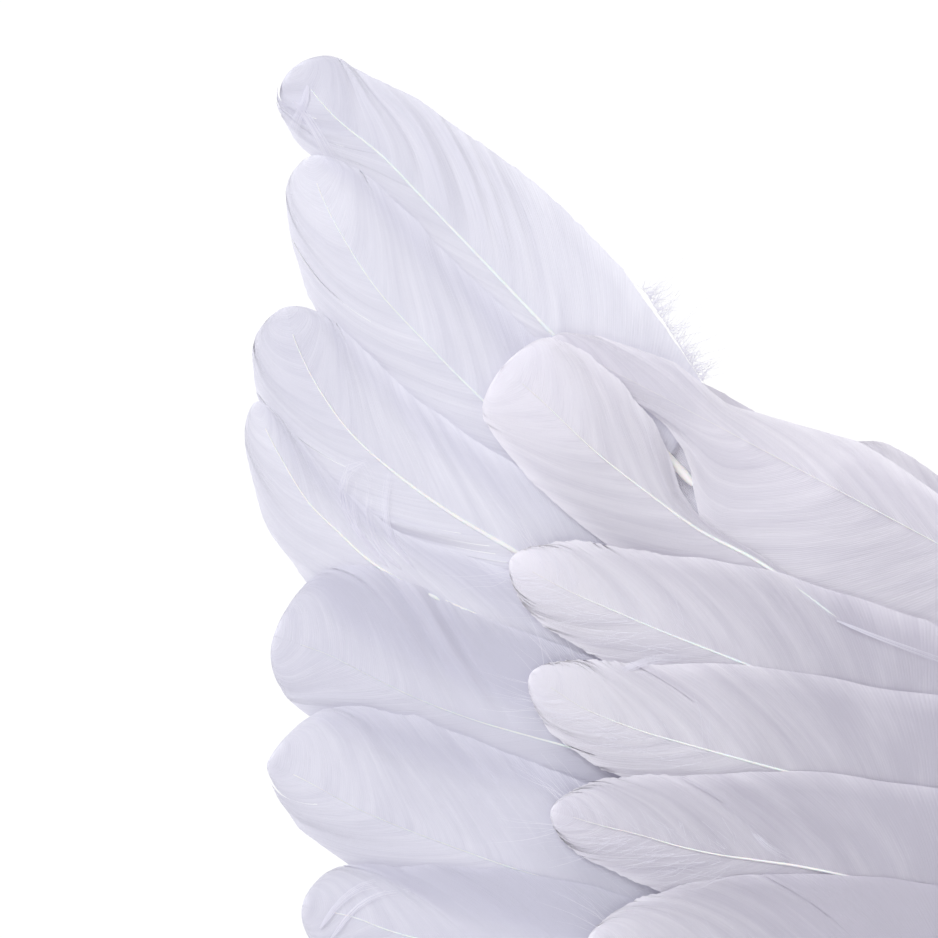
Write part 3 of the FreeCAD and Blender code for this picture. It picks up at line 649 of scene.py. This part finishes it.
    def strand(self, points, radius):
        """A loose barb: a narrow tapering ribbon through the points, flat to the wing."""
        line, _ = smooth_line(points, STRAND_STEPS)
        ahead = np.gradient(line, axis=0)
        side = np.stack([-ahead[:, 2], STRAND_TWIST * ahead[:, 0], ahead[:, 0]], axis=1)
        side /= np.linalg.norm(side, axis=1)[:, None]
        taper = radius * np.linspace(1, 0.2, STRAND_STEPS)[:, None]
        ribbon = np.stack([line - side * taper, line + side * taper], axis=1)
        uvs = np.zeros((STRAND_STEPS, 2, 2)) + self.rng.uniform(0, 50)
        self.grid(ribbon, uvs, BARB_MARK)

    def lock(self, places, width, lift, depth, facing):
        """A lock of barbs that stands off its vane: fine strands that part from one point."""
        line, _ = smooth_line(places, LOCK_STEPS)
        across = line_sides(line)
        share = np.linspace(0, 1, LOCK_STEPS)
        fan = np.minimum(0.45 + 0.75 * share, 4 * share + 0.1)
        for offset in np.arange(-width / 2, width / 2, LOCK_GAP):
            spread = offset * fan + self.rng.normal(0, 0.08)
            flat = line + across * spread[:, None]
            rise = lift * np.sin(share * math.pi) ** 0.7 * self.rng.uniform(0.7, 1.1)
            y = depth + LOCK_CLEAR + rise + swell(flat[:, 0], flat[:, 1])
            cut = int(self.rng.integers(LOCK_STEPS - 2, LOCK_STEPS + 1))
            points = np.stack([flat[:, 0], facing * y, flat[:, 1]], axis=1)
            self.strand(points[:cut], LOCK_STRAND)

    def piece(self, name, vane, mirror=False):
        """The mesh object of all that was collected, in the scene."""
        points = np.vstack(self.points) * MM
        faces = np.vstack(self.faces)
        marks = np.concatenate(self.marks)
        if mirror:
            points[:, 0] *= -1
            faces = faces[:, ::-1]
        mesh = bpy.data.meshes.new(name)
        mesh.from_pydata(points.tolist(), [], faces.tolist())
        for material in (vane, SHAFT, BARB):
            mesh.materials.append(material)
        mesh.polygons.foreach_set("material_index", marks.astype(np.int32))
        mesh.polygons.foreach_set("use_smooth", np.ones(len(faces), bool))
        for layer, values in (("barbs", self.uvs), ("rim", self.painted_light_uvs)):
            data = mesh.uv_layers.new(name=layer).data
            data.foreach_set("uv", np.vstack(values)[faces.reshape(-1)].reshape(-1))
        mesh.validate()
        return in_scene(name, mesh)


def place(obj, body, slot, *nodes):
    """Puts a piece on the body it rides and hides the nodes that it stands for; slot is not used."""
    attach(obj, body)
    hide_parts(*nodes)


def row(side, node, specs, depth, facing, seed, fine, locks=()):
    """One row of feathers of one wing, from the top down, each lying over the one above."""
    build = Builder(seed, ROW_PAINTED_SHADING.get(node, PLAIN_PAINTED_SHADING))
    for number, spec in enumerate(specs):
        lying = depth + FEATHER_STEP * number - spec.get("sink", 0)
        build.feather(spec, lying, facing, FINE_GRID if number < fine else PLAIN_GRID)
        for _ in range(spec.get("fuzz", 0)):
            tuft(build, spec, depth, facing)
    for places, width, lift in locks:
        build.lock(places, width, lift, depth, facing)
    if node == "primaries":
        down(build, depth, facing)
    vane = OUTER_VANE if node == "primaries" else INNER_VANE
    obj = build.piece(side + "_" + node + "_feathers", vane, side == "right")
    place(obj, side + "_wing", "feather", side + "_" + node)


def tuft(build, spec, depth, facing):
    """One downy strand that leaves the tip of a covert."""
    rng = build.rng
    line, _ = smooth_line(spec["shaft"], TUFT_SAMPLES)
    spot = line[int(rng.uniform(TUFT_FROM, TUFT_TO))]
    ahead = line[-1] - line[-6]
    ahead /= np.linalg.norm(ahead)
    across = np.array([-ahead[1], ahead[0]]) * rng.choice([-1, 1])
    long = rng.uniform(8, 20)
    first = ahead * 0.6 + across * rng.uniform(0.1, 1.0)
    first /= np.linalg.norm(first)
    spot = spot + across * rng.uniform(0, 8)
    lift = depth + rng.uniform(0.3, 1.0)
    points = []
    for share in CURL_STEPS:
        flat = spot + first * long * share + ahead * long * 0.5 * share ** 2 + rng.normal(0, 0.35, 2)
        points.append((flat[0], facing * (lift + swell(flat[0], flat[1]) - 0.5 * share), flat[1]))
    build.strand(points, rng.uniform(0.04, 0.085))


def down(build, depth, facing):
    """The white down that shows past the leading edge of the wing."""
    rng = build.rng
    start, end, toward = (np.array(pair, float) for pair in (DOWN_FROM, DOWN_TO, DOWN_TOWARD))
    for _ in range(DOWN_COUNT):
        spot = start + (end - start) * rng.uniform(0, 1)
        aim = toward + rng.normal(0, 0.5, 2)
        long = rng.uniform(3, 10)
        bend = rng.normal(0, 0.35, 2)
        points = []
        for share in CURL_STEPS:
            flat = spot + aim * long * share + bend * long * share ** 2
            points.append((flat[0], facing * (depth + rng.uniform(-0.6, 0.6)), flat[1]))
        build.strand(points, rng.uniform(0.06, 0.13))


primaries = FIRST_PRIMARIES + [from_fan(e) for e in MORE_PRIMARIES]
coverts = FIRST_COVERTS + [from_fan(e) for e in MORE_COVERTS]
lesser = [from_fan(e) for e in LESSER_COVERTS]
marginals = [from_fan(e) for e in MARGINALS]
rear_coverts = [from_fan(e) for e in REAR_COVERTS]
for side, seed, fine in (("left", 11, FEATHERS_IN_VIEW), ("right", 47, 0)):
    front = CLOTH_FACE + FRONT_GAP
    row(side, "primaries", primaries, front, -1, seed, fine, LOCKS)
    row(side, "coverts", coverts, front + ROW_STEP, -1, seed + 1, fine, COVERT_LOCKS)
    row(side, "lesser_coverts", lesser, front + 2 * ROW_STEP, -1, seed + 2, 0)
    row(side, "marginals", marginals, front + 3 * ROW_STEP, -1, seed + 3, 0)
    rear = REAR_CLOTH_FACE + REAR_GAP
    row(side, "rear_coverts", rear_coverts, rear, 1, seed + 4, 0)
    row(side, "rear_marginals", marginals, rear + ROW_STEP, 1, seed + 5, 0)

plume = Builder(5)
plume_depth = -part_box("centre_plume")[1][1] / MM + PLUME_GAP
for spec in PLUME:
    plume.feather(from_fan(spec), plume_depth, -1, PLAIN_GRID)
place(plume.piece("centre_plume_feathers", INNER_VANE), "back_panel", "plume", "centre_plume")


# ---------------- soft goods

# The wire loop's outline from the root's top round to its bottom; the root itself is straight.
CLOTH_OUTLINE = [
    (-40, 64), (-70, 105), (-118, 145), (-172, 166), (-218, 190), (-238, 165), (-243, 95), (-232, 5),
    (-206, -80), (-158, -134), (-104, -143), (-62, -112), (-40, -64),
]
CLOTH_ROUND, CLOTH_ACROSS = 96, 40
CLOTH_SAG = 0.35
HEM, HEM_THICKER = 0.985, 0.15
THREAD_RADIUS = 0.35
CLOTH_STITCH, PAD_STITCH, STRAP_STITCH = 3.6, 3.2, 2.2

# The pad's voxels, swelling and clearance and its channels' depth and half width are in metres.
PAD_SHRINK = 0.97
PAD_VOXEL = 0.004
PAD_PRESSURE, PAD_QUALITY, PAD_FRAMES = 4, 6, 20
PAD_SWELL, PAD_CLEAR = 0.0035, 0.0001
PAD_MARGIN, STITCH_CLEAR = 9, 0.1
PAD_CHANNELS = (-45.0, 0.0, 45.0)
CHANNEL_DEPTH, CHANNEL_HALF = 0.0022, 0.0032
CHANNEL_STITCH_STEP = 5.0

# An arm loop's route out from its upper yoke and back to the lower one: (distance from the
# anchors' axis, height), with the radius of the bend at each place.
STRAP_ROUTE = [(9, 98), (22, 98), (50, 121), (92, 120), (122, 78), (132, 10), (122, -54), (92, -104),
               (50, -118), (22, -98), (9, -98)]
STRAP_RADII = [0, 20, 40, 36, 84, 130, 84, 50, 36, 20, 0]
STRAP_AXIS = (-20.0, -4.6)
STRAP_SPLAY = math.radians(12)
STRAP_HALF, STRAP_THICK = 10.0, 1.6
STRAP_PITCH = 1.6
ARC_STEPS = 14
STRAP_COLUMNS, STRAP_RIBS, RIB_HEIGHT = 41, 10, 0.10
RIPPLE_HEIGHT, RIPPLE_PITCH = 0.05, 3.2
STRAP_SEAMS = (6.0, 7.7, 9.4, 11.1)
SEAM_HALF, SEAM_STEP = 8, 3.2


def mesh_object(name, points, faces, material):
    """A smooth mesh object in the scene, from points in millimetres."""
    mesh = bpy.data.meshes.new(name)
    mesh.from_pydata([tuple(p) for p in np.asarray(points) * MM], [], [list(map(int, f)) for f in faces])
    mesh.materials.append(material)
    mesh.validate()
    mesh.polygons.foreach_set("use_smooth", [True] * len(mesh.polygons))
    return in_scene(name, mesh)


def stitching(name, body, spots, aims, outward, length):
    """Sewn thread: one short bulging stitch at each spot, lying along its aim on the cloth."""
    points, faces = [], []
    for spot, aim in zip(spots, aims):
        aim, lift = np.array(aim, float), np.array(outward, float)
        along = aim / np.linalg.norm(aim)
        rise = np.cross(lift, along)
        base = len(points)
        for share in (-1, -0.5, 0.5, 1):
            size = THREAD_RADIUS * (0.3 if abs(share) == 1 else 1.0)
            for a, b in ((1, 0), (0, 1), (-1, 0), (0, -1)):
                points.append(np.array(spot) + along * share * length / 2 + (rise * a + lift * b) * size)
        for ring in (base, base + 4, base + 8):
            for corner in range(4):
                first, second = ring + corner, ring + (corner + 1) % 4
                faces.append((first, second, second + 4, first + 4))
        faces.append((base + 3, base + 2, base + 1, base))
        faces.append((base + 12, base + 13, base + 14, base + 15))
    thread = mesh_object(name, points, faces, THREAD)
    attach(thread, body)


def wing_cloth(side, node):
    """One face of the felt that is stretched over the wire frame, slack between its wires."""
    low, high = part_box(side + "_" + node)
    back, front = low[1] / MM, high[1] / MM
    outer, _ = smooth_line(CLOTH_OUTLINE, CLOTH_ROUND)
    root, top = CLOTH_OUTLINE[0]
    inner = np.stack([np.full(CLOTH_ROUND, root), np.linspace(top, -top, CLOTH_ROUND)], axis=1)
    share = np.linspace(0, 1, CLOTH_ACROSS)
    share[-2] = HEM
    flat = inner[:, None] * (1 - share[None, :, None]) + outer[:, None] * share[None, :, None]
    x, z = flat[..., 0], flat[..., 1]
    waves = np.sin(x / 17) * np.sin(z / 23) + 0.4 * np.sin(x / 7 + z / 9)
    slack = CLOTH_SAG * np.sin(share * math.pi)[None] * waves
    count = x.size
    sheets = []
    for y in (back, front):
        hem = np.where(share >= HEM, 0.0, HEM_THICKER if y == back else -HEM_THICKER)[None]
        sheets.append(np.stack([x, y + slack + hem, z], axis=-1).reshape(-1, 3))
    index = np.arange(count).reshape(flat.shape[:2])
    quads = np.stack([index[:-1, :-1], index[1:, :-1], index[1:, 1:], index[:-1, 1:]], axis=-1).reshape(-1, 4)
    rim = np.concatenate([index[:, -1], index[::-1, 0]])
    walls = np.stack([rim, np.roll(rim, -1), np.roll(rim, -1) + count, rim + count], axis=-1)
    faces = np.vstack([quads[:, ::-1], quads + count, walls])
    points = np.vstack(sheets)
    if side == "right":
        points[:, 0] *= -1
        faces = faces[:, ::-1]
    obj = mesh_object(side + "_" + node + "_felt", points, faces, FELT)
    place(obj, side + "_wing", "wing_cloth", side + "_" + node)
    x, z = outer[:, 0], outer[:, 1]
    seen, facing = (0, -1) if node == "front_cloth" else (1, 1)
    seam = points.reshape(2, CLOTH_ROUND, CLOTH_ACROSS, 3)[seen, 1:-1, -3]
    stitching(side + "_" + node + "_hem", side + "_wing", seam, np.gradient(seam, axis=0),
              (0, facing, 0), CLOTH_STITCH)


def knit_pad():
    """The back pad: its foam block blown up by a cloth simulation and held at the board."""
    source = frame["nodes"]["back_pad"]
    mesh = source.data.copy()
    mesh.transform(source.matrix_world)
    pad = in_scene("back_pad_knit", mesh)
    low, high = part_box("back_pad")
    middle = (Vector(low) + Vector(high)) / 2
    for vertex in mesh.vertices:
        vertex.co = middle + (vertex.co - middle) * PAD_SHRINK
    bpy.context.view_layer.objects.active = pad
    mesh.remesh_voxel_size = PAD_VOXEL
    with bpy.context.temp_override(active_object=pad, object=pad, selected_objects=[pad]):
        bpy.ops.object.voxel_remesh()
    before = np.array([v.co for v in pad.data.vertices])
    cloth = pad.modifiers.new("blown", "CLOTH")
    cloth.settings.use_pressure = True
    cloth.settings.uniform_pressure_force = PAD_PRESSURE
    cloth.settings.effector_weights.gravity = 0
    cloth.settings.quality = PAD_QUALITY
    for number in range(1, PAD_FRAMES + 1):
        bpy.context.scene.frame_set(number)
    graph = bpy.context.evaluated_depsgraph_get()
    after = np.array([v.co for v in pad.evaluated_get(graph).data.vertices])
    pad.modifiers.remove(cloth)
    bpy.context.scene.frame_set(1)
    move = after - before
    far = np.linalg.norm(move, axis=1)
    move *= np.minimum(1, PAD_SWELL / np.maximum(far, 1e-9))[:, None]
    settled = before + move
    settled[:, 1] = np.maximum(settled[:, 1], low[1] + PAD_CLEAR)
    pad.data.vertices.foreach_set("co", settled.reshape(-1))
    channel = np.array([v.co for v in pad.data.vertices])
    facing = channel[:, 1] > middle[1]
    for across in PAD_CHANNELS:
        dent = CHANNEL_DEPTH * np.exp(-((channel[:, 2] - across * MM) / CHANNEL_HALF) ** 2)
        channel[:, 1] -= np.where(facing, dent, 0)
    pad.data.vertices.foreach_set("co", channel.reshape(-1))
    pad.data.update()
    surface = channel[facing] / MM
    spots = []
    for across in PAD_CHANNELS:
        first, last = surface[:, 0].min() + PAD_MARGIN, surface[:, 0].max() - PAD_MARGIN
        for x in np.arange(first, last + 1, CHANNEL_STITCH_STEP):
            near = np.hypot(surface[:, 0] - x, surface[:, 2] - across).argmin()
            spots.append((x, surface[near, 1] + STITCH_CLEAR, across))
    stitching("back_pad_stitching", "back_panel", spots, [(1, 0, 0)] * len(spots),
              (0, 1, 0), PAD_STITCH)
    smoother = pad.modifiers.new("smooth", "SUBSURF")
    smoother.levels = smoother.render_levels = 1
    pad.data.materials.clear()
    pad.data.materials.append(KNIT)
    pad.data.polygons.foreach_set("use_smooth", [True] * len(pad.data.polygons))
    place(pad, "back_panel", "foam_pad", "back_pad")


def rounded_route(points, radii):
    """Straight runs through the points, joined by tangent arcs, as evenly drawn places."""
    line = [np.array(points[0], float)]
    for before, corner, after, radius in zip(points, points[1:], points[2:], radii[1:]):
        corner = np.array(corner, float)
        a = np.array(before, float) - corner
        b = np.array(after, float) - corner
        a /= np.linalg.norm(a)
        b /= np.linalg.norm(b)
        half = math.acos(np.clip(a @ b, -1, 1)) / 2
        middle = (a + b) / np.linalg.norm(a + b)
        centre = corner + middle * radius / math.sin(half)
        first = corner + a * radius / math.tan(half) - centre
        last = corner + b * radius / math.tan(half) - centre
        turn = math.pi - 2 * half
        for share in np.linspace(0, 1, ARC_STEPS):
            line.append(centre + (first * math.sin((1 - share) * turn) + last * math.sin(share * turn))
                        / math.sin(turn))
    line.append(np.array(points[-1], float))
    return np.array(line)


def strap(side):
    """An elastic arm loop: a ribbed webbing with rounded selvedges, sewn down at both ends."""
    line = rounded_route(STRAP_ROUTE, STRAP_RADII)
    run = run_along(line)
    at = np.arange(0, run[-1], STRAP_PITCH)
    line = along_line(at, run, line)
    normal = -line_sides(line)
    columns = np.linspace(-1, 1, STRAP_COLUMNS)
    edge = np.sqrt(np.clip(1 - np.abs(columns) ** 14, 0.02, 1))
    ribs = RIB_HEIGHT * np.sin(columns * math.pi * STRAP_RIBS) ** 2 - RIB_HEIGHT
    face = STRAP_THICK / 2 * edge + ribs * (np.abs(columns) < 0.93)
    widths = np.concatenate([columns, columns[::-1]]) * STRAP_HALF
    heights = np.concatenate([face, -face[::-1]])
    ripple = RIPPLE_HEIGHT * np.sin(at * 2 * math.pi / RIPPLE_PITCH)[:, None] * np.sign(heights)[None]
    plane = line[:, None] + normal[:, None] * (heights + ripple)[..., None]
    flip = -1 if side == "right" else 1

    def world(u, z, width):
        """The place at u out from the anchors' axis, z up and width across the webbing."""
        x = STRAP_AXIS[0] - math.sin(STRAP_SPLAY) * u + math.cos(STRAP_SPLAY) * width
        y = STRAP_AXIS[1] + math.cos(STRAP_SPLAY) * u + math.sin(STRAP_SPLAY) * width
        return np.stack([x * flip, y, z + 0 * x], axis=-1)

    points = world(plane[..., 0], plane[..., 1], np.broadcast_to(widths, plane.shape[:2]))
    rows, cols = points.shape[:2]
    index = np.arange(rows * cols).reshape(rows, cols)
    after = np.roll(index, -1, axis=1)
    quads = np.stack([index[:-1], after[:-1], after[1:], index[1:]], axis=-1).reshape(-1, 4)
    faces = list(quads) + [index[0][::-1], index[-1]]
    if side == "right":
        faces = [f[::-1] for f in faces]
    obj = mesh_object(side + "_strap_webbing", points.reshape(-1, 3), faces, ELASTIC)
    place(obj, side + "_arm_loop", "elastic", side + "_strap")
    spots = []
    sewn = line + normal * STRAP_THICK * 0.42
    for start, onward in ((0, 1), (rows - 1, -1)):
        for along in STRAP_SEAMS:
            u, z = sewn[start + onward * int(along / STRAP_PITCH)]
            for width in np.arange(-SEAM_HALF, SEAM_HALF + 0.1, SEAM_STEP):
                spots.append(world(u, z, width))
    across = (math.cos(STRAP_SPLAY) * flip, math.sin(STRAP_SPLAY), 0)
    outward = (-math.sin(STRAP_SPLAY) * flip, math.cos(STRAP_SPLAY), 0)
    stitching(side + "_strap_stitching", side + "_arm_loop", spots, [across] * len(spots),
              outward, STRAP_STITCH)


for side in ("left", "right"):
    wing_cloth(side, "front_cloth")
    wing_cloth(side, "rear_cloth")
    strap(side)
knit_pad()


# ---------------- CAD nodes that keep their shape

def clad(node, material):
    """Gives a CAD node its material."""
    materials = frame["nodes"][node].data.materials
    materials.clear()
    materials.append(material)


for side in ("left", "right"):
    for level in ("upper", "lower"):
        clad(side + "_" + level + "_sleeve", WHITE_PLASTIC)
        clad(side + "_" + level + "_anchor", WHITE_PLASTIC)
        clad(side + "_" + level + "_yoke", WHITE_PLASTIC)
    for node, material in (("frame_wire", WIRE), ("strut_wire", WIRE), ("wire_ferrule", NICKEL),
                           ("wire_collars", NICKEL), ("strut_joints", NICKEL)):
        clad(side + "_" + node, material)
clad("sleeve_rivets", NICKEL)
clad("panel_binding", TAPE)
clad("front_cover", FELT)
clad("back_board", BOARD)


# ---------------- stage, light and camera

# Sizes and places of the floor and the lights are in metres.
FLOOR_RADIUS, FLOOR_SIDES, FLOOR_DROP = 4.0, 64, 0.03
SKY_SEEN, SKY_FRONT, SKY_REAR = 1.05, 0.51, 0.34
KEY_AT, KEY_TARGET, KEY_SIZE = (-0.95, -1.0, 1.45), (-0.25, 0, 0.2), 0.9
SUN_SPREAD = math.radians(50)


def light(name, kind, direction, power, colour):
    """A light that shines against the direction."""
    data = bpy.data.lights.new(name, kind)
    data.energy = power
    data.color = colour
    obj = in_scene(name, data)
    obj.rotation_euler = Vector(direction).to_track_quat("Z", "Y").to_euler()
    return obj


def lights():
    """A disk light from the upper left and a broad sun for each face."""
    key = light("key", "AREA", Vector(KEY_AT) - Vector(KEY_TARGET), 11, (0.95, 0.98, 1.0))
    key.data.shape = "DISK"
    key.data.size = KEY_SIZE
    key.location = KEY_AT
    for name, direction, power, colour in (("front sun", (-0.75, -0.7, 1.0), 1.3, (0.97, 0.98, 1.0)),
                                           ("rear sun", (0.5, 1.0, 1.1), 1.05, (1.0, 0.99, 0.99))):
        light(name, "SUN", direction, power, colour).data.angle = SUN_SPREAD


def floor():
    """A plain pale disk below the wings."""
    floor_mesh = bpy.data.meshes.new("floor")
    turns = np.linspace(0, 2 * math.pi, FLOOR_SIDES, endpoint=False)
    rim = [(FLOOR_RADIUS * math.cos(a), FLOOR_RADIUS * math.sin(a), 0) for a in turns]
    floor_mesh.from_pydata(rim, [], [list(range(FLOOR_SIDES))])
    n = Nodes(bpy.data.materials.new("floor"))
    marks = n.add("TexNoise", {"Scale": 3.0})
    colour = n.mix(marks.outputs[0], rgb(0.86, 0.86, 0.87), rgb(0.90, 0.90, 0.91))
    shader = n.add("BsdfPrincipled", {"Base Color": colour, "Roughness": 0.7})
    floor_mesh.materials.append(n.finish(shader.outputs[0]))
    disk = in_scene("floor", floor_mesh)
    disk.location.z = CAD_BOX[0][2] - FLOOR_DROP


def sky():
    """A white surround that lights the show side more than the rear."""
    world = bpy.data.worlds.new("studio")
    bpy.context.scene.world = world
    n = Nodes(world, "OutputWorld")
    seen = n.add("Background", {0: (1, 1, 1, 1), 1: SKY_SEEN})
    towards = n.add("SeparateXYZ", {0: n.add("TexCoord").outputs["Generated"]})
    level = n.add("MapRange", {0: towards.outputs[1], 1: -1, 3: SKY_FRONT, 4: SKY_REAR})
    lit = n.add("Background", {0: (0.96, 0.95, 1.0, 1), 1: level.outputs[0]})
    seen_or_lit = n.add("LightPath").outputs["Is Camera Ray"]
    n.finish(n.add("MixShader", {0: seen_or_lit, 1: lit.outputs[0], 2: seen.outputs[0]}).outputs[0])


def camera():
    """The view of the upper outer part of the left wing, straight on."""
    data = bpy.data.cameras.new("camera")
    data.sensor_width = 36.0
    data.lens = data.sensor_width * CAMERA_DISTANCE / VIEW_SIZE
    data.clip_end = 50
    obj = in_scene("camera", data)
    obj.location = (VIEW_CENTRE[0] * MM, -(CAMERA_DISTANCE + VIEW_DEPTH) * MM, VIEW_CENTRE[1] * MM)
    obj.rotation_euler = (math.radians(90), 0, 0)
    bpy.context.scene.camera = obj


floor()
sky()
lights()
camera()
bpy.context.scene.view_settings.view_transform = "Standard"
